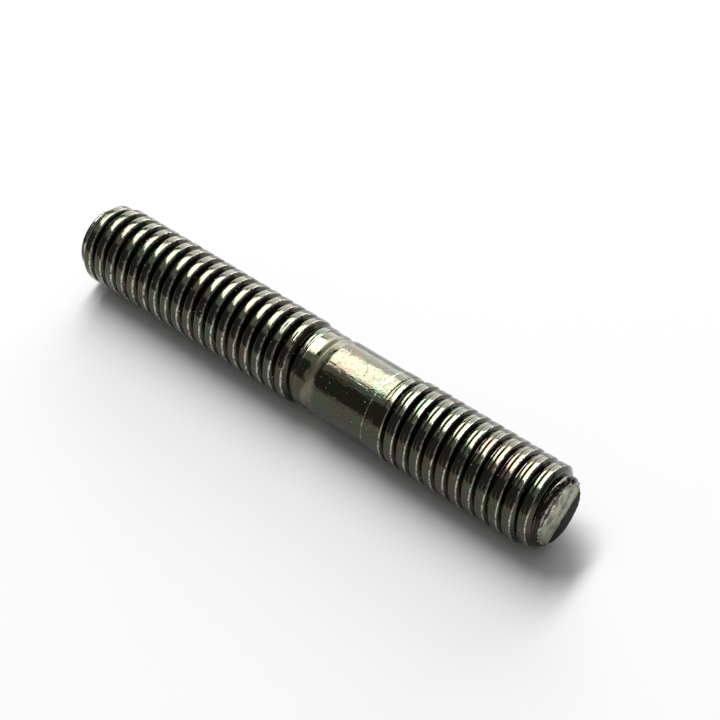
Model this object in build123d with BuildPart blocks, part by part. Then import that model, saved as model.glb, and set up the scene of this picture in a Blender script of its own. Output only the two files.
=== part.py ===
from build123d import *
import math
import os

# A plain steel stud with a right-hand thread on both ends and a bare shank between them.
# It is drawn upright on its long thread's flat end, then laid down along X, on its crests,
# with the short thread toward +X. Millimetres, +Z up.

# Thread: 5/16 inch, 18 turns to the inch, on both ends
inch = 25.4
turns_per_inch = 18
major_diameter = 7.84
crest_width = 0.46
flank_angle = 30.0  # each flank, from square to the axis

# Lengths along the axis, from the long thread's end
long_thread_length = 27.0
land_length = 1.1
step_length = 0.15
shoulder_length = 1.05
shank_length = 5.8
collar_length = 1.0
short_thread_length = 17.5

# Diameters of what isn't thread
land_diameter = 7.3
waist_diameter = 7.02
shank_diameter = 7.49
collar_diameter = 7.6

# Ends
long_end_face_diameter = 6.0
long_end_chamfer_length = 1.5
short_end_face_diameter = 5.7
short_end_rim_diameter = 6.7
short_end_rim_length = 0.45
short_end_chamfer_angle = 22.0  # from the axis

# How each thread fades beside the shank
crest_fade_angle = 18.0  # from the axis
long_crest_fade = 1.2  # its crest starts to fall this far before its end
short_crest_fade = 0.2  # its crest is full this far past its start
long_root_fade = 0.7  # its groove rises to the land over this length
short_root_fade = 0.95  # its groove sinks from the collar over this length

# Where each thread's crest crosses the line the stud rests on, measured in from its own end
long_crest_offset = 0.63
short_crest_offset = 0.87

# Worked out from the sizes above
pitch = inch / turns_per_inch
major_radius = major_diameter / 2
flank_width = (pitch - crest_width) / 2
root_radius = major_radius - flank_width / math.tan(math.radians(flank_angle))
land_radius = land_diameter / 2
waist_radius = waist_diameter / 2
shank_radius = shank_diameter / 2
collar_radius = collar_diameter / 2
long_end_radius = long_end_face_diameter / 2
short_end_radius = short_end_face_diameter / 2
short_rim_radius = short_end_rim_diameter / 2

land_top = long_thread_length + land_length
waist = land_top + step_length
shank_bottom = waist + shoulder_length
shank_top = shank_bottom + shank_length
collar_top = shank_top + collar_length
overall_length = collar_top + short_thread_length

clear = 0.5  # how far a turned outline stays outside the crests
buried = 0.3  # how deep a thread's bar reaches under the land or the collar
relief = 0.04  # how far the middle's ends lie under the thread's root


def past_crest(inner, outer):
    """The point where the line from inner through outer has come clear of the crests."""
    stretch = (major_radius + clear - inner[0]) / (outer[0] - inner[0])
    return (major_radius + clear, inner[1] + (outer[1] - inner[1]) * stretch)


def threaded_rod(crest_height, bottom, top):
    """A rod, threaded all along, that reaches past bottom and top.

    Each turn is three strips between helices: the flat of the crest, the flank down to
    the root and the flank back up. Below and above, a ramp and an upright face close it.
    """
    first = crest_height - crest_width / 2
    first -= pitch * (1 + math.ceil((first - bottom) / pitch))
    turns = 1 + math.ceil((top - first) / pitch)
    profile = [
        (major_radius, 0),
        (major_radius, crest_width),
        (root_radius, crest_width + flank_width),
    ]

    def helix(radius, height):
        return Edge.make_helix(pitch, pitch, radius, center=(0, 0, height))

    faces = []
    for turn in range(turns):
        height = first + turn * pitch
        strips = [helix(radius, height + rise) for radius, rise in profile]
        strips.append(helix(major_radius, height + pitch))
        for lower, upper in zip(strips, strips[1:]):
            faces.append(Face.make_surface_from_curves(lower, upper))
    for height in (first, first + turns * pitch):
        axis = Edge.make_line((0, 0, height), (0, 0, height + pitch))
        faces.append(Face.make_surface_from_curves(axis, helix(major_radius, height)))
        outline = [(0, 0, height)]
        outline += [(radius, 0, height + rise) for radius, rise in profile]
        outline += [(major_radius, 0, height + pitch), (0, 0, height + pitch)]
        faces.append(Face(Wire.make_polygon(outline)))
    return Solid(Shell(faces))


# A fading crest falls along a cone, on into the land or the collar that it meets
fade_slope = math.tan(math.radians(crest_fade_angle))
long_fade_start = (major_radius, long_thread_length - long_crest_fade)
long_fall = major_radius - land_radius + buried
long_fade_end = (major_radius - long_fall, long_fade_start[1] + long_fall / fade_slope)
short_fade_end = (major_radius, collar_top + short_crest_fade)
short_rise = major_radius - collar_radius + buried
short_fade_start = (major_radius - short_rise, short_fade_end[1] - short_rise / fade_slope)

# The long thread: chamfered at its end, its last crest falling away to the land
foot = (long_end_radius, 0)
foot_edge = past_crest(foot, (major_radius, long_end_chamfer_length))
long_fade_edge = past_crest(long_fade_end, long_fade_start)
long_rod = threaded_rod(long_crest_offset, 0, long_fade_end[1])

with BuildPart() as long_thread:
    add(long_rod)
    with BuildSketch(Plane.XZ):
        with BuildLine():
            Polyline(
                (0, 0),
                foot,
                foot_edge,
                long_fade_edge,
                long_fade_end,
                (0, long_fade_end[1]),
                close=True,
            )
        make_face()
    revolve(axis=Axis.Z, mode=Mode.INTERSECT)

# The short thread: its first crest rises out of the collar, and its end is rounded off
short_fade_edge = past_crest(short_fade_start, short_fade_end)
rim = (short_rim_radius, overall_length - short_end_rim_length)
chamfer_slope = math.tan(math.radians(short_end_chamfer_angle))
chamfer_start = rim[1] - (major_radius - short_rim_radius) / chamfer_slope
rim_edge = past_crest(rim, (major_radius, chamfer_start))
short_rod = threaded_rod(overall_length - short_crest_offset, short_fade_start[1], overall_length)

with BuildPart() as short_thread:
    add(short_rod)
    with BuildSketch(Plane.XZ):
        with BuildLine():
            Polyline(
                (0, short_fade_start[1]),
                short_fade_start,
                short_fade_edge,
                rim_edge,
                rim,
                (short_end_radius, overall_length),
                (0, overall_length),
                close=True,
            )
        make_face()
    revolve(axis=Axis.Z, mode=Mode.INTERSECT)

# The whole stud, upright: land, waist, shank and collar join the two threads in one piece
with BuildPart() as upright_stud:
    with BuildSketch(Plane.XZ):
        with BuildLine():
            Polyline(
                (0, long_thread_length - long_root_fade),
                (root_radius - relief, long_thread_length - long_root_fade),
                (land_radius, long_thread_length),
                (land_radius, land_top),
                (waist_radius, waist),
                (shank_radius, shank_bottom),
                (shank_radius, shank_top),
                (collar_radius, shank_top),
                (collar_radius, collar_top),
                (root_radius - relief, collar_top + short_root_fade),
                (0, collar_top + short_root_fade),
                close=True,
            )
        make_face()
    revolve(axis=Axis.Z)
    add(long_thread.part)
    add(short_thread.part)

# The stud as it lies: its +X side becomes its underside, and its middle is over the origin
lying = Plane(origin=(-overall_length / 2, 0, major_radius), x_dir=(0, 0, -1), z_dir=(1, 0, 0))

with BuildPart() as double_ended_stud:
    add(lying * upright_stud.part)

double_ended_stud.part.label = "double_ended_stud"
os.makedirs("parts", exist_ok=True)
export_step(double_ended_stud.part, "parts/double_ended_stud.step")
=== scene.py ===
import logging
import math
from dataclasses import dataclass, field, fields
from enum import Enum
from functools import reduce
from typing import Any, Optional, Union

import bpy
from mathutils import Matrix, Vector


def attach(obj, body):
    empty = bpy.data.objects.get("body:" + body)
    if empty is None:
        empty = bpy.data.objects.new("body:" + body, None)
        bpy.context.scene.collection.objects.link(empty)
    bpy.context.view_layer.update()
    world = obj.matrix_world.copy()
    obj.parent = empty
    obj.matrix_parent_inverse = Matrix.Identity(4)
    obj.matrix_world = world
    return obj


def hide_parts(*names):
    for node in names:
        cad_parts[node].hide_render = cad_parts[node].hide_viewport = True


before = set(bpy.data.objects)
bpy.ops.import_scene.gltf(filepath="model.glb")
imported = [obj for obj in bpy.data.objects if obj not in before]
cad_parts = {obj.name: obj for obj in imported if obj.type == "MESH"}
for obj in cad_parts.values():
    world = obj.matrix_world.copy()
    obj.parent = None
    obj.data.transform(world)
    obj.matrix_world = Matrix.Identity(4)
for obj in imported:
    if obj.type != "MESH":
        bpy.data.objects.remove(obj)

# A plated steel stud with a right-hand thread on both ends, lying on a pale floor.
# Its skin is one lattice of rows and columns that follows the thread's helix from the
# centre of one end face to the centre of the other. The trees work in millimetres, and
# the skin is handed over in metres, in the same frame as the solid.

LOG = logging.getLogger("stud")
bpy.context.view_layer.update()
MM = 0.001

# Millimetres, shared by the skin and its finishes
AXIS_HEIGHT = 3.92
BLADE_SIDE = (0.616, 0.787)  # across and down the cropped face, to where the blade went in
TORN_LIMIT = 1.05  # how far that way the face is torn, from its middle
TINY = 0.001  # closer than this is the same place

NOISE_MIDDLE = 0.5
WHOLE_GUARD = 0.25  # keeps a whole number from being rounded down to the one before it
CREASE_ANGLE = math.radians(28)  # an edge sharper than this isn't shaded smooth
CROPPED_SHARE = 0.4  # a face with more of its corners cropped takes the cropped finish

Colour = tuple[float, float, float, float]
Band = tuple[float, float]
Point = tuple[float, float, float]
Socket = bpy.types.NodeSocket
Input = Union[Socket, bpy.types.ID, tuple, str, float, bool, None]


class Kind(Enum):
    """The kinds of node that the trees use.

    Each is its type, the sockets that its values go into, the output that it gives and
    its settings. Sockets that share a name with others are given by number.
    """

    RAMP = (
        "ShaderNodeMapRange",
        ("Value", "From Min", "From Max", "To Max"),
        "Result",
        {"interpolation_type": "SMOOTHSTEP"},
    )
    MIX = ("ShaderNodeMix", (0, 6, 7), 2, {"data_type": "RGBA", "clamp_factor": True})
    NOISE = ("ShaderNodeTexNoise", ("Vector", "Scale", "Detail", "Roughness", "W"), "Fac", {})
    CELLS = ("ShaderNodeTexVoronoi", ("Vector", "Scale", "Randomness"), "Distance", {})
    TO_MM = ("ShaderNodeVectorMath", (0, "Scale"), 0, {"operation": "SCALE"})
    STRETCH = ("ShaderNodeVectorMath", (0, 1), 0, {"operation": "MULTIPLY"})
    JOIN = ("ShaderNodeCombineXYZ", ("X", "Y", "Z"), 0, {})
    SPLIT = ("ShaderNodeSeparateXYZ", (0,), 0, {})
    SPLIT_COLOUR = ("ShaderNodeSeparateColor", (0,), 0, {})
    OBJECT_PLACE = ("ShaderNodeTexCoord", (), "Object", {})
    NOTED = ("ShaderNodeAttribute", (), "Fac", {})
    BUMP = ("ShaderNodeBump", ("Strength", "Distance", "Height"), 0, {})
    PRINCIPLED = (
        "ShaderNodeBsdfPrincipled",
        (
            "Base Color",
            "Metallic",
            "Roughness",
            "Normal",
            "Coat Weight",
            "Coat Roughness",
            "Coat Normal",
        ),
        0,
        {},
    )
    DIFFUSE = ("ShaderNodeBsdfDiffuse", ("Color",), 0, {})
    SURFACE = ("ShaderNodeOutputMaterial", ("Surface",), 0, {})
    SIZES = ("NodeGroupInput", (), 0, {})
    GRID = ("GeometryNodeMeshGrid", ("Vertices X", "Vertices Y"), 0, {})
    INDEX = ("GeometryNodeInputIndex", (), 0, {})
    NOTE = (
        "GeometryNodeStoreNamedAttribute",
        ("Geometry", "Name", "Value"),
        0,
        {"data_type": "FLOAT", "domain": "POINT"},
    )
    READ = ("GeometryNodeInputNamedAttribute", (0,), 0, {"data_type": "FLOAT"})
    MOVE = ("GeometryNodeSetPosition", ("Geometry", "Position"), 0, {})
    MERGE = ("GeometryNodeMergeByDistance", ("Geometry", "Distance"), 0, {})
    SHADE = ("GeometryNodeSetShadeSmooth", ("Geometry", "Selection", "Shade Smooth"), 0, {})
    EDGE_ANGLE = ("GeometryNodeInputMeshEdgeAngle", (), "Unsigned Angle", {})
    ABOVE = ("FunctionNodeCompare", (0, 1), 0, {"operation": "GREATER_THAN"})
    REALIZE = ("GeometryNodeRealizeInstances", ("Geometry",), 0, {})
    COAT = ("GeometryNodeSetMaterial", ("Geometry", "Selection", "Material"), 0, {})
    RESULT = ("NodeGroupOutput", ("Geometry",), 0, {})


class Mark(Enum):
    """What the tree notes on the skin for the finishes to read."""

    WORN = "worn edge"
    MATT = "matt"
    WRINKLED = "wrinkled"
    BURNT = "burnt rim"
    CROPPED = "cropped face"


def linear(hex_colour: str) -> Colour:
    """Turns an sRGB hex colour into the linear colour that a socket takes.

    Args:
        hex_colour: Six hex digits after a #.

    Returns:
        Linear red, green and blue, and an alpha of 1.
    """
    channels = [int(hex_colour[i : i + 2], 16) / 255 for i in (1, 3, 5)]
    made = [c / 12.92 if c <= 0.04045 else ((c + 0.055) / 1.055) ** 2.4 for c in channels]
    return (made[0], made[1], made[2], 1.0)


@dataclass(frozen=True)
class Grower:
    """Grows one tree, node by node."""

    tree: bpy.types.NodeTree

    def add(self, kind: Union[Kind, str], *values: Input, **settings: Any) -> Optional[Socket]:
        """Adds a node with its settings and links.

        Args:
            kind: The kind of node, or the name of an operation for a Math node.
            values: What goes into the sockets that the kind takes, in order: a socket to
                link from, or a constant. None leaves a socket as it is.
            settings: Its properties by name, besides those of its kind.

        Returns:
            The output that the kind gives, or None from a node without outputs.
        """
        type_name, takes, gives, own = (
            ("ShaderNodeMath", (0, 1, 2), 0, {"operation": kind})
            if isinstance(kind, str)
            else kind.value
        )
        node = self.tree.nodes.new(type_name)
        for name, value in {**own, **settings}.items():
            setattr(node, name, value)
        for name, value in zip(takes, values):
            if isinstance(value, Socket):
                self.tree.links.new(value, node.inputs[name])
            elif value is not None:
                node.inputs[name].default_value = value
        return node.outputs[gives] if len(node.outputs) else None

    def line(self, at: Input, start: Input, height: Input, slope: Input) -> Socket:
        """The height at a place of the straight line through start and height."""
        return self.add("MULTIPLY_ADD", self.add("SUBTRACT", at, start), slope, height)

    def slope(self, low: Input, high: Input, length: Input) -> Socket:
        """How steeply a line rises from low to high over a length."""
        return self.add("DIVIDE", self.add("SUBTRACT", high, low), length)

    def lowest(self, *values: Input) -> Socket:
        """The lowest of several values."""
        return reduce(lambda low, value: self.add("MINIMUM", low, value), values)

    def highest(self, *values: Input) -> Socket:
        """The highest of several values."""
        return reduce(lambda high, value: self.add("MAXIMUM", high, value), values)

    def rest(self, share: Input, **settings: Any) -> Socket:
        """What a share leaves of 1."""
        return self.add("SUBTRACT", 1.0, share, **settings)


def start_material(name: str) -> tuple[bpy.types.Material, Grower]:
    """Starts a material with an empty tree.

    Args:
        name: What the real material is called.

    Returns:
        The material, and what grows its tree.
    """
    material = bpy.data.materials.new(name)
    material.use_nodes = True
    material.node_tree.nodes.clear()
    return material, Grower(material.node_tree)


@dataclass(frozen=True)
class Grain:
    """A noise: how large its blotches are in millimetres, and how finely they break up."""

    size: float
    detail: float
    roughness: float = 0.5

    def values(self) -> tuple[float, float, float]:
        """What a noise node takes after its place: scale, detail and roughness."""
        return (1 / self.size, self.detail, self.roughness)


@dataclass(frozen=True)
class PlatedSteel:
    """Cold-rolled steel with a thin dark plate.

    The plate is glossy and nearly black where it mirrors nothing, and it tints what it
    mirrors green, brown or olive by how thick it lies. The crests' edges are rubbed down
    to bare steel, and handling leaves pale nicks. Scuffs and nicks are finer on the real
    plate, and are drawn as coarse as they need to be to show. Lengths are in millimetres.
    A band is where in a noise's range something sets in and is full, and a relief is a
    share of the scuff depth.
    """

    name: str = "plated steel"
    olive: str = "#424133"
    brown: str = "#463A30"
    green: str = "#394435"
    bare: str = "#CFCDBE"
    waist: str = "#807E68"
    # The rim by the cropped face: painted dark brown, a painted dark reflection
    burnt: str = "#2C221B"
    tint: Grain = Grain(2.2, 3.0, 0.6)
    olive_band: Band = (0.36, 0.48)
    green_band: Band = (0.52, 0.66)
    waist_share: float = 0.8

    scuff: Grain = Grain(0.28, 3.0, 0.6)
    rubbed_band: Band = (0.32, 0.58)
    rubbed_share: float = 0.85
    nick_spacing: float = 0.5
    nick_radius: float = 0.07
    unnicked_share: float = 0.35
    least_nick: float = 0.2
    nick_growth: float = 0.9
    nick_raggedness: float = 0.12
    nick_bareness: float = 0.6

    roughness: float = 0.12
    roughness_spread: float = 0.12
    matt_roughness: float = 0.5
    nick_roughening: float = 0.45
    rubbed_roughening: float = 0.15
    burnt_roughening: float = 0.25
    film: float = 0.26
    film_roughness: float = 0.06

    wrinkle: Grain = Grain(0.4, 2.0, 0.6)
    wrinkle_stretch: Point = (0.3, 1.0, 1.0)
    scuff_depth: float = 0.016
    bump_strength: float = 0.8
    scuff_relief: float = 0.45
    burnt_relief: float = 3.0
    wrinkle_relief: float = 2.5
    nick_relief: float = -0.8

    def make(self) -> bpy.types.Material:
        """Builds the material.

        Returns:
            The material, which reads the marks that the skin's tree notes.
        """
        material, grower = start_material(self.name)
        add = grower.add
        where = add(Kind.TO_MM, add(Kind.OBJECT_PLACE), 1 / MM)
        worn, matt, wrinkled, burnt = (
            add(Kind.NOTED, attribute_name=mark.value)
            for mark in (Mark.WORN, Mark.MATT, Mark.WRINKLED, Mark.BURNT)
        )

        # The plate's tints, a few millimetres across, and how it lies in the waist. The rim by
        # the cropped face is painted dark brown, a painted dark reflection
        tint = add(Kind.NOISE, where, *self.tint.values())
        olive = add(Kind.RAMP, tint, *self.olive_band)
        base = add(Kind.MIX, olive, linear(self.brown), linear(self.olive))
        base = add(Kind.MIX, add(Kind.RAMP, tint, *self.green_band), base, linear(self.green))
        base = add(Kind.MIX, add("MULTIPLY", matt, self.waist_share), base, linear(self.waist))
        # Painted dark reflection: the rim's plate is darkened to dark brown
        base = add(Kind.MIX, burnt, base, linear(self.burnt))

        # Rubbed edges, broken up along the crest, and scattered nicks
        scuff = add(Kind.NOISE, where, *self.scuff.values())
        broken = add("MULTIPLY", add(Kind.RAMP, scuff, *self.rubbed_band), self.rubbed_share)
        rubbed = add("MULTIPLY", worn, broken)
        cell = add(Kind.CELLS, where, 1 / self.nick_spacing, 1.0).node.outputs
        chosen = add(Kind.SPLIT_COLOUR, cell["Color"]).node.outputs
        nicked = add("GREATER_THAN", chosen[0], self.unnicked_share)
        reach = add("MULTIPLY", nicked, self.nick_radius / self.nick_spacing)
        grown = add("MULTIPLY_ADD", chosen[1], self.nick_growth, self.least_nick)
        reach = add("MULTIPLY", reach, grown)
        uneven = add("SUBTRACT", scuff, NOISE_MIDDLE)
        ragged = add("MULTIPLY_ADD", uneven, self.nick_raggedness, cell["Distance"])
        nick = add("LESS_THAN", ragged, reach)
        bared = grower.highest(rubbed, add("MULTIPLY", nick, self.nick_bareness))
        base = add(Kind.MIX, bared, base, linear(self.bare))

        # Gloss, uneven at the scale of the scuffs
        least = self.roughness - self.roughness_spread / 2
        roughness = add("MULTIPLY_ADD", scuff, self.roughness_spread, least)
        for share, roughening in (
            (matt, self.matt_roughness - self.roughness),
            (nick, self.nick_roughening),
            (rubbed, self.rubbed_roughening),
            (burnt, self.burnt_roughening),
        ):
            roughness = add("MULTIPLY_ADD", share, roughening, roughness)

        # Relief: scuffs all over, a crust on the rim that is painted dark, wrinkles drawn
        # along the shank, and the nicks' pits
        drawn = add(Kind.STRETCH, where, self.wrinkle_stretch)
        wrinkles = add(Kind.NOISE, drawn, *self.wrinkle.values())
        coarse = add("ADD", wrinkled, self.scuff_relief)
        height = add("MULTIPLY", scuff, add("MULTIPLY_ADD", burnt, self.burnt_relief, coarse))
        folded = add("MULTIPLY", wrinkles, wrinkled)
        height = add("MULTIPLY_ADD", folded, self.wrinkle_relief, height)
        height = add("MULTIPLY_ADD", nick, self.nick_relief, height)
        bump = add(Kind.BUMP, self.bump_strength, self.scuff_depth * MM, height)
        film = (self.film, self.film_roughness, bump)
        shader = add(Kind.PRINCIPLED, base, 1.0, roughness, bump, *film)
        add(Kind.SURFACE, shader)
        return material


@dataclass(frozen=True)
class ShearedSteel:
    """Steel where the bar was cropped.

    It is torn and a pale, mottled grey over most of the face. Where the blade went in, a
    crescent is smooth and painted near black, a painted dark reflection. On the far side the
    lip is painted dark brown, also a painted dark reflection, behind a bright fold. Lengths
    are in millimetres, and an edge runs between two distances from the face's middle,
    towards the blade's side.
    """

    name: str = "sheared steel"
    pale: str = "#A6A893"
    dark: str = "#676658"
    # The crescent's near black is a painted dark reflection
    smooth: str = "#1B1B18"
    # The lip's dark brown is a painted dark reflection
    burnt: str = "#2C221B"
    sliver: str = "#E2E2D4"
    mottle: Grain = Grain(0.9, 7.0, 0.62)
    pale_band: Band = (0.36, 0.62)
    torn_wander: float = 0.5
    torn_edge: Band = (TORN_LIMIT - 0.04, TORN_LIMIT + 0.08)

    crumple: Grain = Grain(0.5, 4.0, 0.7)
    burnt_wander: float = 1.6
    burnt_edge: Band = (-2.05, -1.95)
    fold_at: float = -1.88
    fold_half_width: float = 0.1
    fold_band: Band = (0.46, 0.54)

    torn_roughness: float = 0.45
    smooth_roughness: float = 0.6
    relief_depth: float = 0.06
    bump_strength: float = 0.7
    smooth_relief: float = -0.9
    burnt_relief: float = 2.5

    def make(self) -> bpy.types.Material:
        """Builds the material.

        Returns:
            The material, for the cropped face alone.
        """
        material, grower = start_material(self.name)
        add = grower.add
        where = add(Kind.TO_MM, add(Kind.OBJECT_PLACE), 1 / MM)
        parts = add(Kind.SPLIT, where).node.outputs

        # Torn metal, and past it the smooth crescent, whose near black is a painted dark
        # reflection
        mottle = add(Kind.NOISE, where, *self.mottle.values())
        pale = add(Kind.RAMP, mottle, *self.pale_band)
        base = add(Kind.MIX, pale, linear(self.dark), linear(self.pale))
        drop = add("SUBTRACT", AXIS_HEIGHT, parts["Z"])
        across, down = BLADE_SIDE
        side = add("MULTIPLY_ADD", parts["Y"], across, add("MULTIPLY", drop, down))
        uneven = add("SUBTRACT", mottle, NOISE_MIDDLE)
        side = add("MULTIPLY_ADD", uneven, self.torn_wander, side)
        smooth = add(Kind.RAMP, side, *self.torn_edge)
        base = add(Kind.MIX, smooth, base, linear(self.smooth))

        # The lip on the far side, painted dark brown as a painted dark reflection, with a
        # crumpled crust, and its fold
        crumple = add(Kind.NOISE, where, *self.crumple.values())
        uneven = add("SUBTRACT", crumple, NOISE_MIDDLE)
        side = add("MULTIPLY_ADD", uneven, self.burnt_wander, side)
        burnt = grower.rest(add(Kind.RAMP, side, *self.burnt_edge), use_clamp=True)
        base = add(Kind.MIX, burnt, base, linear(self.burnt))
        off_fold = add("ABSOLUTE", add("SUBTRACT", side, self.fold_at))
        fold = add("LESS_THAN", off_fold, self.fold_half_width)
        fold = add("MULTIPLY", fold, add(Kind.RAMP, mottle, *self.fold_band))
        base = add(Kind.MIX, fold, base, linear(self.sliver))

        smoother = self.smooth_roughness - self.torn_roughness
        roughness = add("MULTIPLY_ADD", smooth, smoother, self.torn_roughness)
        height = add("MULTIPLY", mottle, add("MULTIPLY_ADD", smooth, self.smooth_relief, 1.0))
        crust = add("MULTIPLY", burnt, crumple)
        height = add("MULTIPLY_ADD", crust, self.burnt_relief, height)
        bump = add(Kind.BUMP, self.bump_strength, self.relief_depth * MM, height)
        add(Kind.SURFACE, add(Kind.PRINCIPLED, base, 1.0, roughness, bump))
        return material


@dataclass(frozen=True)
class PaleFloor:
    """A matt white painted board, which gives a soft shadow and no gloss."""

    name: str = "matt white board"
    colour: str = "#FBFBFB"

    def make(self) -> bpy.types.Material:
        """Builds the material.

        Returns:
            The material of the floor.
        """
        material, grower = start_material(self.name)
        grower.add(Kind.SURFACE, grower.add(Kind.DIFFUSE, linear(self.colour)))
        return material


@dataclass(frozen=True)
class Lattice:
    """How finely the skin is divided, and the seed of its noises."""

    steps_per_turn: int = 72
    rows_per_pitch: int = 32
    face_turns: float = 1.0
    seed: int = 7


@dataclass(frozen=True)
class Unevenness:
    """The noises that rolling, handling and cropping leave in the skin's shape.

    A band is where in a noise's range something sets in and is full.
    """

    wander: Grain = Grain(0.9, 2.0)
    dent: Grain = Grain(0.7, 2.0)
    dent_band: Band = (0.56, 0.74)
    seam_band: Band = (0.4, 0.6)
    chip: Grain = Grain(0.45, 3.0)
    chip_band: Band = (0.42, 0.66)
    tear: Grain = Grain(0.8, 4.0, 0.6)


@dataclass(frozen=True)
class Stud:
    """The double ended stud.

    Its sizes are in millimetres, along the axis or square to it. A place along the axis
    is measured from the long thread's end face.
    """

    # Both threads
    pitch: float = 25.4 / 18
    crest_radius: float = AXIS_HEIGHT
    root_radius: float = 3.13
    flank_slope: float = 1.42
    crest_half_width: float = 0.35
    crest_crown: float = 0.066
    crest_rounding: float = 0.1
    crest_shoulder_rounding: float = 0.25
    root_rounding: float = 0.2
    edge_wander: float = 0.08
    dent_depth: float = 0.009

    # How the short thread's crests differ, from this far into the shank on
    changeover: float = 1.0
    short_crest_widening: float = 0.07
    short_crest_crown: float = 0.05
    short_sharpening: float = -0.5

    # The slope of the crests' tops: at the long end, and at both ends of the short thread
    long_crest_tilt: float = 0.046
    crest_tilt: float = 0.03
    end_crest_tilt: float = 0.062

    # The seam that rolling leaves along the crests, its place and width in rows
    seam_depth: float = 0.03
    seam_shift: float = -2.0
    seam_widening: float = 0.5
    long_seam_start: float = 20.0
    short_seam_share: float = 0.9

    # Lengths along the axis, and the radii of what isn't thread
    long_thread_length: float = 27.0
    land_length: float = 1.1
    step_length: float = 0.42
    shoulder_length: float = 0.78
    shank_length: float = 5.8
    collar_length: float = 1.0
    short_thread_length: float = 17.5
    land_radius: float = 3.65
    waist_radius: float = 3.51
    shank_radius: float = 3.745
    collar_radius: float = 3.8
    corner_rounding: float = 0.06
    shoulder_rounding: float = 0.1

    # Both ends
    long_end_radius: float = 3.0
    long_chamfer_slope: float = 0.613
    long_bevel_slope: float = 1.3
    short_end_radius: float = 2.85
    short_rim_radius: float = 3.35
    short_rim_length: float = 0.45
    short_chamfer_slope: float = 0.404
    chip_depth: float = 0.24
    torn_depth: float = 0.12
    torn_limit: float = TORN_LIMIT
    torn_blend: float = 0.12
    torn_wander: float = 0.9
    torn_share: float = 0.97

    # How each thread fades beside the shank
    crest_fade_slope: float = 0.325
    long_crest_fade: float = 1.2
    short_crest_fade: float = 0.7
    long_root_fade: float = 0.7
    short_root_fade: float = 0.95
    first_groove_start: float = 0.7
    first_groove_full: float = 1.2
    long_crest_offset: float = 0.53
    short_crest_offset: float = 0.97

    # Where the finishes change
    worn_inside: float = 0.06
    worn_outside: float = 0.05
    thread_blend: float = 0.4
    short_wear_start: float = 0.1
    short_wear_full: float = 0.5
    lip_at: float = 0.03
    lip_half_width: float = 0.07
    collar_edge_half_width: float = 0.05
    matt_start: float = 27.95
    matt_full: float = 28.2
    matt_fade: float = 28.9
    matt_end: float = 29.5
    matt_wander: float = 1.6
    wrinkle_start: float = 28.6
    wrinkle_full: float = 29.4
    # How far from the cropped face the rim is painted dark, a painted dark reflection
    burnt_length: float = 0.42

    lattice: Lattice = field(default_factory=Lattice)
    uneven: Unevenness = field(default_factory=Unevenness)

    @property
    def overall_length(self) -> float:
        """From one end face to the other.

        Returns:
            The length of the stud.
        """
        turned = self.land_length + self.step_length + self.shoulder_length
        turned += self.shank_length + self.collar_length
        return self.long_thread_length + turned + self.short_thread_length

    @property
    def first_crest(self) -> float:
        """Where the lattice starts: on the crest's helix, and clear of the long end's face."""
        return self.long_crest_offset - math.ceil(2 + self.lattice.face_turns) * self.pitch

    @property
    def turns(self) -> int:
        """Turns of the lattice, enough to close both end faces."""
        reach = self.overall_length + self.lattice.face_turns * self.pitch - self.first_crest
        return 1 + math.ceil(reach / self.pitch)

    @property
    def phase_shift(self) -> float:
        """How far the short thread's crests lie past the long thread's helix."""
        gap = self.overall_length - self.short_crest_offset - self.long_crest_offset
        return math.remainder(gap, self.pitch)

    def tree_inputs(self) -> dict[str, Union[int, float]]:
        """The sizes that the tree takes.

        Returns:
            Each size by the name of its input. The crests' offsets reach the tree as the
            first crest and the phase shift.
        """
        left_out = ("lattice", "uneven", "long_crest_offset", "short_crest_offset")
        made: dict[str, Union[int, float]] = {}
        for holder in (self, self.lattice):
            for one in fields(holder):
                if one.name not in left_out:
                    made[one.name.replace("_", " ")] = getattr(holder, one.name)
        for name in ("overall_length", "first_crest", "phase_shift", "turns"):
            made[name.replace("_", " ")] = getattr(self, name)
        return made

    def build(
        self, plated: bpy.types.Material, sheared: bpy.types.Material
    ) -> bpy.types.Object:
        """Makes the stud as a plain mesh, in the solid's place.

        Args:
            plated: The finish of all but the cropped face.
            sheared: The finish of the cropped face.

        Returns:
            The finished piece.
        """
        tree = SkinTree(self).grow(plated, sheared)
        stud = bpy.data.objects.new("stud", bpy.data.meshes.new("stud seed"))
        bpy.context.scene.collection.objects.link(stud)
        modifier = stud.modifiers.new("threaded stud", "NODES")
        modifier.node_group = tree
        values = self.tree_inputs()
        for item in tree.interface.items_tree:
            if item.in_out == "INPUT" and item.name in values:
                modifier[item.identifier] = values[item.name]
        graph = bpy.context.evaluated_depsgraph_get()
        mesh = bpy.data.meshes.new_from_object(stud.evaluated_get(graph))
        stud.modifiers.remove(modifier)
        stud.data = mesh
        mesh.name = "stud"
        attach(stud, "root")
        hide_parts("double_ended_stud")
        return stud


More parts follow.
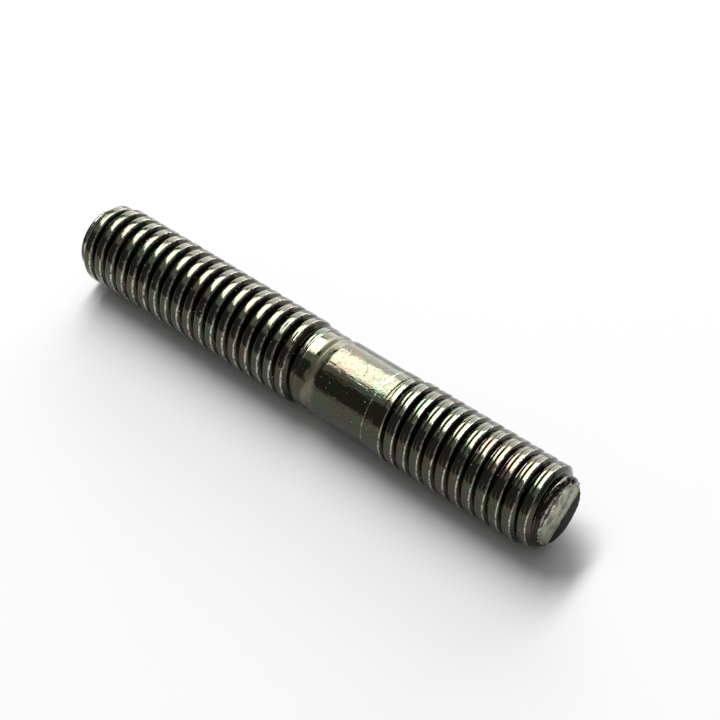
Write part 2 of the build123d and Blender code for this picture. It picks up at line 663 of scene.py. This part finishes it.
class SkinTree:
    """The geometry tree that makes the stud's skin.

    The lattice's columns go round the axis and climb, and its rows cross one pitch from
    crest to crest. Each attribute below is a value at every point of it. `along` is its
    place along the axis, `beside` how far it lies past the nearest crest, toward the
    short end, and `from_crest` the same without its sign.
    """

    def __init__(self, stud: Stud) -> None:
        """Starts the tree, with its inputs, and places the lattice's points.

        Args:
            stud: The stud's sizes.
        """
        self.stud = stud
        self.tree = bpy.data.node_groups.new("threaded stud", "GeometryNodeTree")
        sockets = self.tree.interface
        sockets.new_socket("Geometry", in_out="OUTPUT", socket_type="NodeSocketGeometry")
        for name, value in stud.tree_inputs().items():
            kind = "NodeSocketInt" if isinstance(value, int) else "NodeSocketFloat"
            sockets.new_socket(name, in_out="INPUT", socket_type=kind)
        self.grower = Grower(self.tree)
        self.size = self.grower.add(Kind.SIZES).node.outputs
        self.place_stations()
        self.lay_lattice()
        self.find_crests()

    def place_stations(self) -> None:
        """Finds where each length between the threads ends."""
        add, size = self.grower.add, self.size
        self.land_end = add("ADD", size["long thread length"], size["land length"])
        self.waist = add("ADD", self.land_end, size["step length"])
        self.shank_start = add("ADD", self.waist, size["shoulder length"])
        self.shank_end = add("ADD", self.shank_start, size["shank length"])
        self.collar_end = add("ADD", self.shank_end, size["collar length"])

    def lay_lattice(self) -> None:
        """Lays the lattice and finds each point's angle and its place along the axis."""
        add, size = self.grower.add, self.size
        steps = size["steps per turn"]
        rows = add("ADD", size["rows per pitch"], 1.0)
        columns = add("MULTIPLY_ADD", size["turns"], steps, 1.0)
        self.grid = add(Kind.GRID, columns, rows)
        index = add(Kind.INDEX)
        column = add("FLOOR", add("DIVIDE", add("ADD", index, WHOLE_GUARD), rows))
        row = add("ROUND", add("SUBTRACT", index, add("MULTIPLY", column, rows)))
        rise = add("MULTIPLY", row, add("DIVIDE", steps, size["rows per pitch"]))
        climbed = add("DIVIDE", add("ADD", column, rise), steps)
        turned = add("DIVIDE", add("MODULO", column, steps), steps)
        self.angle = add("MULTIPLY", turned, math.tau)
        share = add("DIVIDE", row, size["rows per pitch"])
        self.from_crest = add("MULTIPLY", add("PINGPONG", share, 0.5), size["pitch"])
        nearest = add("SUBTRACT", share, add("GREATER_THAN", share, 0.5))
        self.beside = add("MULTIPLY", nearest, size["pitch"])
        along = add("MULTIPLY_ADD", climbed, size["pitch"], size["first crest"])

        # The rows slide in the shank, so that they meet the short thread's crests
        shank = (self.shank_start, self.shank_end)
        along = add("ADD", along, add(Kind.RAMP, along, *shank, size["phase shift"]))

        # A row that passes close to an edge is drawn onto it, so that the edge is clean
        self.spacing = add("DIVIDE", size["pitch"], size["rows per pitch"])
        self.half_spacing = add("MULTIPLY", self.spacing, 0.5)
        for edge in (0.0, self.land_end, self.waist, *shank, size["overall length"]):
            gap = add("SUBTRACT", edge, along)
            near = add("LESS_THAN", add("ABSOLUTE", gap), self.half_spacing)
            along = add("MULTIPLY_ADD", near, gap, along)
        self.along = along
        self.to_end = add("SUBTRACT", size["overall length"], along)

        # Noise on the skin is taken where the point would be on a plain bar
        across = add("MULTIPLY", size["crest radius"], add("SINE", self.angle))
        up = add("MULTIPLY", size["crest radius"], add("COSINE", self.angle))
        on_bar = add(Kind.JOIN, along, across, up)
        uneven = self.stud.uneven
        cloud, self.dents, self.chips = (
            add(Kind.NOISE, on_bar, *grain.values(), size["seed"], noise_dimensions="4D")
            for grain in (uneven.wander, uneven.dent, uneven.chip)
        )
        self.wander = add("SUBTRACT", cloud, NOISE_MIDDLE)

    def find_crests(self) -> None:
        """Finds which crest each point belongs to, which side of it, and how wide it is."""
        add, size = self.grower.add, self.size
        self.crest_at = add("SUBTRACT", self.along, self.beside)
        changeover = add("ADD", self.shank_start, size["changeover"])
        self.past_middle = add("GREATER_THAN", self.along, changeover)
        self.toward_long = add("LESS_THAN", self.beside, 0.0)
        widening = (size["short crest widening"], size["crest half width"])
        half_width = add("MULTIPLY_ADD", self.past_middle, *widening)
        self.half_width = add("MULTIPLY_ADD", self.wander, size["edge wander"], half_width)

        # Beside the collar the short thread's first groove is still filled
        past_collar = add("SUBTRACT", self.crest_at, self.collar_end)
        opening = (size["first groove start"], size["first groove full"])
        grooved = add(Kind.RAMP, past_collar, *opening)
        before_short = add("MULTIPLY", self.past_middle, self.toward_long)
        filled = add("MULTIPLY", before_short, self.grower.rest(grooved))
        self.unfilled = self.grower.rest(filled)

    def crest_top(self) -> Socket:
        """How high each crest stands, which falls to both ends and beside the shank.

        Returns:
            The radius of the crest's top.
        """
        add, size, line = self.grower.add, self.size, self.grower.line
        full = size["crest radius"]
        fade_start = add("SUBTRACT", size["long thread length"], size["long crest fade"])
        fade_end = add("ADD", self.collar_end, size["short crest fade"])
        down = add("MULTIPLY", size["crest fade slope"], -1.0)
        falling = line(self.crest_at, fade_start, full, down)
        rising = line(self.crest_at, fade_end, full, size["crest fade slope"])
        either = add("SUBTRACT", rising, falling)
        fading = add("MULTIPLY_ADD", self.past_middle, either, falling)
        to_end = add("SUBTRACT", size["overall length"], self.crest_at)
        long_edge = (0.0, size["long end radius"], size["long chamfer slope"])
        rim = (size["short rim length"], size["short rim radius"], size["short chamfer slope"])
        chamfers = (line(self.crest_at, *long_edge), line(to_end, *rim))
        return self.grower.lowest(full, fading, *chamfers)

    def flank_drop(self) -> Socket:
        """How far the flanks fall, from nothing on the crest itself.

        Returns:
            The drop below the crest's top.
        """
        add, size = self.grower.add, self.size
        softer = add("SUBTRACT", size["crest shoulder rounding"], size["crest rounding"])
        rounding = add("MULTIPLY_ADD", self.toward_long, softer, size["crest rounding"])
        sharper = add("MULTIPLY_ADD", self.past_middle, size["short sharpening"], 1.0)
        rounding = add("MULTIPLY", rounding, sharper)
        outside = add("SUBTRACT", self.from_crest, self.half_width)
        fallen = add("MULTIPLY", outside, size["flank slope"])
        fallen = add("SMOOTH_MAX", fallen, 0.0, rounding)
        return add("MULTIPLY", fallen, self.unfilled)

    def crown_drop(self) -> Socket:
        """How a crest's top is crowned and leans.

        The long thread's crests lean most at its end, and fall toward the shank. The short
        thread's fall toward the collar, more and more along it, and are flat on one side.

        Returns:
            The drop below the crest's top.
        """
        add, size = self.grower.add, self.size
        flatter = add("SUBTRACT", size["short crest crown"], size["crest crown"])
        crown = add("MULTIPLY_ADD", self.past_middle, flatter, size["crest crown"])
        crown = add("MULTIPLY", add("MULTIPLY", self.from_crest, self.from_crest), crown)
        flat_side = add("MULTIPLY", self.past_middle, add("GREATER_THAN", self.beside, 0.0))
        crown = add("MULTIPLY", crown, self.grower.rest(flat_side))

        on_crest = add("MINIMUM", self.from_crest, size["crest half width"])
        across = add("MULTIPLY", on_crest, add("SIGN", self.beside))
        past_collar = add("SUBTRACT", self.along, self.collar_end)
        down_short = add("DIVIDE", past_collar, size["short thread length"])
        steeper = add("SUBTRACT", size["end crest tilt"], size["crest tilt"])
        slant = add("MULTIPLY_ADD", down_short, steeper, size["crest tilt"])
        tilt = add("MULTIPLY", add("SUBTRACT", size["crest half width"], across), slant)
        crown = add("MULTIPLY_ADD", tilt, self.past_middle, crown)

        along_share = add("DIVIDE", self.along, size["long thread length"])
        to_shank = self.grower.rest(along_share, use_clamp=True)
        from_edge = add("ADD", size["crest half width"], across)
        lean = add("MULTIPLY", from_edge, size["long crest tilt"])
        return add("MULTIPLY_ADD", lean, to_shank, crown)

    def seam_drop(self) -> Socket:
        """The seam along the crests, patchy by the shank and clear on the short thread.

        Returns:
            The drop below the crest's top.
        """
        add, size = self.grower.add, self.size
        wider = add("MULTIPLY_ADD", self.past_middle, size["seam widening"], 1.0)
        half_width = add("MULTIPLY", self.spacing, wider)
        row = add("MULTIPLY_ADD", self.past_middle, size["seam shift"], 1.0)
        at = add("MULTIPLY", self.spacing, row)
        off_seam = add("ABSOLUTE", add("SUBTRACT", self.beside, at))
        seam = self.grower.rest(add("DIVIDE", off_seam, half_width), use_clamp=True)
        setting_in = (size["long seam start"], size["long thread length"])
        begun = add(Kind.RAMP, self.along, *setting_in)
        near_shank = add("SUBTRACT", begun, self.past_middle, use_clamp=True)
        cloud = add("ADD", self.wander, NOISE_MIDDLE)
        patchy = add(Kind.RAMP, cloud, *self.stud.uneven.seam_band)
        on_short = add("MULTIPLY", self.past_middle, size["short seam share"])
        share = add("MULTIPLY_ADD", near_shank, patchy, on_short, use_clamp=True)
        seam = add("MULTIPLY", add("MULTIPLY", seam, share), size["seam depth"])
        return add("MULTIPLY", seam, self.unfilled)

    def turned_outline(self) -> Socket:
        """The outline of what isn't thread: land, waist, shoulder, shank and collar.

        Returns:
            Its radius, under the threads too.
        """
        add, size = self.grower.add, self.size
        line, slope, lowest = self.grower.line, self.grower.slope, self.grower.lowest
        root, land, waist = size["root radius"], size["land radius"], size["waist radius"]
        shank, collar = size["shank radius"], size["collar radius"]
        rise = slope(root, land, size["long root fade"])
        rise = line(self.along, size["long thread length"], land, rise)
        drop = slope(land, waist, size["step length"])
        drop = line(self.along, self.land_end, land, drop)
        before = add("SMOOTH_MIN", lowest(rise, land), drop, size["corner rounding"])

        shoulder = slope(waist, shank, size["shoulder length"])
        shoulder = line(self.along, self.waist, waist, shoulder)
        step_at = add("ADD", self.shank_end, self.half_spacing)
        stepped = add("GREATER_THAN", self.along, step_at)
        plain = add("MULTIPLY_ADD", stepped, add("SUBTRACT", collar, shank), shank)
        sink = slope(collar, root, size["short root fade"])
        sink = line(self.along, self.collar_end, collar, sink)
        after = add("SMOOTH_MIN", shoulder, lowest(plain, sink), size["shoulder rounding"])
        past_waist = add("GREATER_THAN", self.along, add("SUBTRACT", self.waist, TINY))
        after = add("MULTIPLY", past_waist, after)
        return add("SMOOTH_MAX", before, after, size["corner rounding"])

    def skin_radius(self) -> Socket:
        """Joins the threads to the turned outline, dents them and cuts both ends.

        Returns:
            The skin's radius.
        """
        add, size, line = self.grower.add, self.size, self.grower.line
        uneven = self.stud.uneven
        drop = add("ADD", self.flank_drop(), add("ADD", self.crown_drop(), self.seam_drop()))
        thread = add("SUBTRACT", self.crest_top(), drop)
        thread = add("SMOOTH_MAX", thread, size["root radius"], size["root rounding"])
        radius = add("SMOOTH_MAX", thread, self.turned_outline(), size["corner rounding"])
        dents = add(Kind.RAMP, self.dents, *uneven.dent_band)
        dents = add("MULTIPLY", dents, size["dent depth"])
        radius = add("MULTIPLY_ADD", dents, -1.0, radius)

        bevel = line(self.along, 0.0, size["long end radius"], size["long bevel slope"])
        end = size["short end radius"]
        rim = self.grower.slope(end, size["short rim radius"], size["short rim length"])
        rim = line(self.to_end, 0.0, end, rim)
        chips = add(Kind.RAMP, self.chips, *uneven.chip_band)
        chips = add("MULTIPLY", chips, size["chip depth"])
        before_end = add("GREATER_THAN", self.to_end, -TINY)
        rim = add("SUBTRACT", rim, add("MULTIPLY", chips, before_end))
        return self.grower.lowest(radius, bevel, rim, size["crest radius"])

    def marks(self) -> dict[Mark, Socket]:
        """Works out what the finishes read.

        Returns:
            How much of each mark the point carries, from 0 to 1.
        """
        add, size, rest = self.grower.add, self.size, self.grower.rest
        along, to_end = self.along, self.to_end
        before_end = add("GREATER_THAN", to_end, -TINY)

        # Worn: one edge of each crest, the lip round the cropped face, the collar's edge
        blend_start = add("SUBTRACT", size["long thread length"], size["thread blend"])
        blend_end = add("ADD", size["long thread length"], size["thread blend"])
        threaded = rest(add(Kind.RAMP, along, blend_start, blend_end), use_clamp=True)
        past_collar = add("SUBTRACT", along, self.collar_end)
        wearing = (size["short wear start"], size["short wear full"])
        threaded = add("ADD", threaded, add(Kind.RAMP, past_collar, *wearing))
        inner = add("SUBTRACT", self.half_width, size["worn inside"])
        outer = add("ADD", self.half_width, size["worn outside"])
        within = add("LESS_THAN", self.from_crest, outer)
        edge = add("MULTIPLY", add("GREATER_THAN", self.from_crest, inner), within)
        edge = add("MULTIPLY", edge, rest(self.toward_long))
        off_long_face = add("GREATER_THAN", along, TINY)
        off_faces = add("MULTIPLY", off_long_face, add("GREATER_THAN", to_end, TINY))
        edge = add("MULTIPLY", add("MULTIPLY", edge, threaded), off_faces)
        off_lip = add("ABSOLUTE", add("SUBTRACT", to_end, size["lip at"]))
        lip = add("LESS_THAN", off_lip, size["lip half width"])
        off_collar = add("ABSOLUTE", add("SUBTRACT", along, self.shank_end))
        collar_edge = add("LESS_THAN", off_collar, size["collar edge half width"])

        # Matt: the waist, between ragged edges. Wrinkled: the shank. The rim by the cropped
        # face is painted dark, a painted dark reflection
        ragged = add("MULTIPLY_ADD", self.wander, size["matt wander"], along)
        begun = add(Kind.RAMP, ragged, size["matt start"], size["matt full"])
        over = add(Kind.RAMP, ragged, size["matt fade"], size["matt end"])
        on_shank = add(Kind.RAMP, along, size["wrinkle start"], size["wrinkle full"])
        near_end = add("LESS_THAN", to_end, size["burnt length"])
        return {
            Mark.WORN: self.grower.highest(edge, lip, collar_edge),
            Mark.MATT: add("MULTIPLY", begun, rest(over)),
            Mark.WRINKLED: add("MULTIPLY", on_shank, rest(threaded)),
            Mark.BURNT: add("MULTIPLY", near_end, before_end),
            Mark.CROPPED: add("LESS_THAN", to_end, 0.0),
        }

    def places(self, radius: Socket) -> Socket:
        """Places the points, with the end faces closed.

        Past each end the rows close in on the middle of the flat face. The cropped face is
        torn over most of it, and smooth where the blade went in.

        Args:
            radius: The skin's radius.

        Returns:
            Each point's place, in metres.
        """
        add, size = self.grower.add, self.size
        along, to_end = self.along, self.to_end
        beyond = add("ADD", add("MINIMUM", along, 0.0), add("MINIMUM", to_end, 0.0))
        face_reach = add("MULTIPLY", size["face turns"], size["pitch"])
        spread = add("ADD", 1.0, add("DIVIDE", beyond, face_reach), use_clamp=True)
        outward = radius
        for past_end, end in (
            (add("LESS_THAN", along, 0.0), size["long end radius"]),
            (add("LESS_THAN", to_end, 0.0), size["short end radius"]),
        ):
            outward = add("MULTIPLY_ADD", past_end, add("SUBTRACT", end, outward), outward)
        outward = add("MULTIPLY", outward, spread)
        held = self.grower.lowest(along, size["overall length"])
        held = self.grower.highest(held, 0.0)
        across = add("MULTIPLY", outward, add("SINE", self.angle))
        drop = add("MULTIPLY", outward, add("COSINE", self.angle))

        tear = self.stud.uneven.tear.values()
        tear = add(Kind.NOISE, add(Kind.JOIN, across, drop), *tear)
        sideways, down = BLADE_SIDE
        side = add("MULTIPLY_ADD", across, sideways, add("MULTIPLY", drop, down))
        uneven = add("SUBTRACT", tear, NOISE_MIDDLE)
        side = add("MULTIPLY_ADD", uneven, size["torn wander"], side)
        past_torn = add("SUBTRACT", side, size["torn limit"])
        smooth = add(Kind.RAMP, past_torn, 0.0, size["torn blend"])
        torn = self.grower.rest(smooth, use_clamp=True)
        sunk = add("MULTIPLY", add("MULTIPLY", torn, tear), size["torn depth"])
        sunk = add("MULTIPLY", sunk, add("LESS_THAN", to_end, 0.0))
        inside = add("LESS_THAN", spread, size["torn share"])
        held = add("SUBTRACT", held, add("MULTIPLY", sunk, inside))

        x = add("SUBTRACT", held, add("MULTIPLY", size["overall length"], 0.5))
        z = add("SUBTRACT", size["crest radius"], drop)
        return add(Kind.TO_MM, add(Kind.JOIN, x, across, z), MM)

    def grow(
        self, plated: bpy.types.Material, sheared: bpy.types.Material
    ) -> bpy.types.NodeTree:
        """Grows the tree to its end.

        Args:
            plated: The finish of all but the cropped face.
            sheared: The finish of the cropped face.

        Returns:
            The finished tree.
        """
        add = self.grower.add
        skin = self.grid
        for mark, value in self.marks().items():
            skin = add(Kind.NOTE, skin, mark.value, value)
        skin = add(Kind.MOVE, skin, self.places(self.skin_radius()))
        skin = add(Kind.MERGE, skin, TINY * MM)
        skin = add(Kind.SHADE, skin, None, True, domain="FACE")
        sharp = add(Kind.ABOVE, add(Kind.EDGE_ANGLE), CREASE_ANGLE)
        skin = add(Kind.SHADE, skin, sharp, False, domain="EDGE")
        skin = add(Kind.REALIZE, skin)
        skin = add(Kind.COAT, skin, None, plated)
        cropped = add(Kind.ABOVE, add(Kind.READ, Mark.CROPPED.value), CROPPED_SHARE)
        add(Kind.RESULT, add(Kind.COAT, skin, cropped, sheared))
        return self.tree


@dataclass(frozen=True)
class Lamp:
    """A soft box.

    It has the place where it hangs, its two sides in metres, how bright its face is, and
    the direction that its long side follows as nearly as it can.
    """

    name: str
    place: Point
    long_side: float
    short_side: float
    brightness: float
    along: Point

    def hang(self, aim: Point) -> bpy.types.Object:
        """Hangs the lamp with its face to a point.

        Args:
            aim: The point that it faces.

        Returns:
            The lamp's object.
        """
        data = bpy.data.lights.new(self.name, "AREA")
        data.shape = "ELLIPSE"
        data.size = self.short_side
        data.size_y = self.long_side
        face = math.pi / 4 * self.long_side * self.short_side
        data.energy = self.brightness * math.pi * face
        lamp = bpy.data.objects.new(self.name, data)
        place, along = Vector(self.place), Vector(self.along)
        away = (place - Vector(aim)).normalized()
        long_axis = (along - away * along.dot(away)).normalized()
        turn = Matrix((long_axis.cross(away), long_axis, away)).transposed()
        lamp.matrix_world = Matrix.Translation(place) @ turn.to_4x4()
        bpy.context.scene.collection.objects.link(lamp)
        return lamp


@dataclass(frozen=True)
class Studio:
    """The floor, the light and the camera, in metres."""

    floor_half_side: float = 4.0
    world_grey: float = 0.18
    camera_place: Point = (0.08949, -0.09803, 0.13329)
    camera_forward: Point = (-0.4688, 0.5440, -0.6957)
    lens: float = 104.7
    sensor_width: float = 36.0
    clip_start: float = 0.01
    aim: Point = (0.0, 0.0, 0.004)
    overhead: Lamp = Lamp(
        "overhead soft box", (-0.94, 0.60, 1.6), 2.2, 0.32, 20.5, (0.0, 0.961, -0.276)
    )
    front: Lamp = Lamp(
        "front soft box", (-0.92, -0.60, 1.61), 0.85, 0.6, 0.85, (0.0, 0.961, 0.276)
    )
    back: Lamp = Lamp("back soft box", (-0.88, 1.55, 0.43), 1.3, 1.9, 4.2, (0.0, -0.3, 0.95))

    def lay_floor(self) -> bpy.types.Object:
        """Lays the floor at the stud's lowest crests.

        Returns:
            The floor.
        """
        h = self.floor_half_side
        mesh = bpy.data.meshes.new("floor")
        mesh.from_pydata([(-h, -h, 0), (h, -h, 0), (h, h, 0), (-h, h, 0)], [], [(0, 1, 2, 3)])
        floor = bpy.data.objects.new("floor", mesh)
        bpy.context.scene.collection.objects.link(floor)
        mesh.materials.append(PaleFloor().make())
        return floor

    def set_light(self) -> None:
        """Hangs the lamps and sets the world."""
        for lamp in (self.overhead, self.front, self.back):
            lamp.hang(self.aim)
        world = bpy.data.worlds.new("studio")
        world.use_nodes = True
        grey = self.world_grey
        background = world.node_tree.nodes["Background"]
        background.inputs["Color"].default_value = (grey, grey, grey, 1.0)
        bpy.context.scene.world = world
        bpy.context.scene.view_settings.view_transform = "Standard"

    def set_camera(self) -> None:
        """Places the camera."""
        data = bpy.data.cameras.new("camera")
        data.lens = self.lens
        data.sensor_width = self.sensor_width
        data.clip_start = self.clip_start
        camera = bpy.data.objects.new("camera", data)
        camera.location = self.camera_place
        forward = Vector(self.camera_forward)
        camera.rotation_euler = forward.to_track_quat("-Z", "Y").to_euler()
        bpy.context.scene.collection.objects.link(camera)
        bpy.context.scene.camera = camera


def main() -> None:
    """Builds the stud and its studio in order."""
    logging.basicConfig(level=logging.INFO, format="%(name)s: %(message)s")
    stud = Stud().build(PlatedSteel().make(), ShearedSteel().make())
    LOG.info("stud: %d vertices, %d faces", len(stud.data.vertices), len(stud.data.polygons))
    studio = Studio()
    studio.lay_floor()
    studio.set_light()
    studio.set_camera()
    LOG.info("studio: floor, light and camera")


if __name__ == "__main__":
    main()
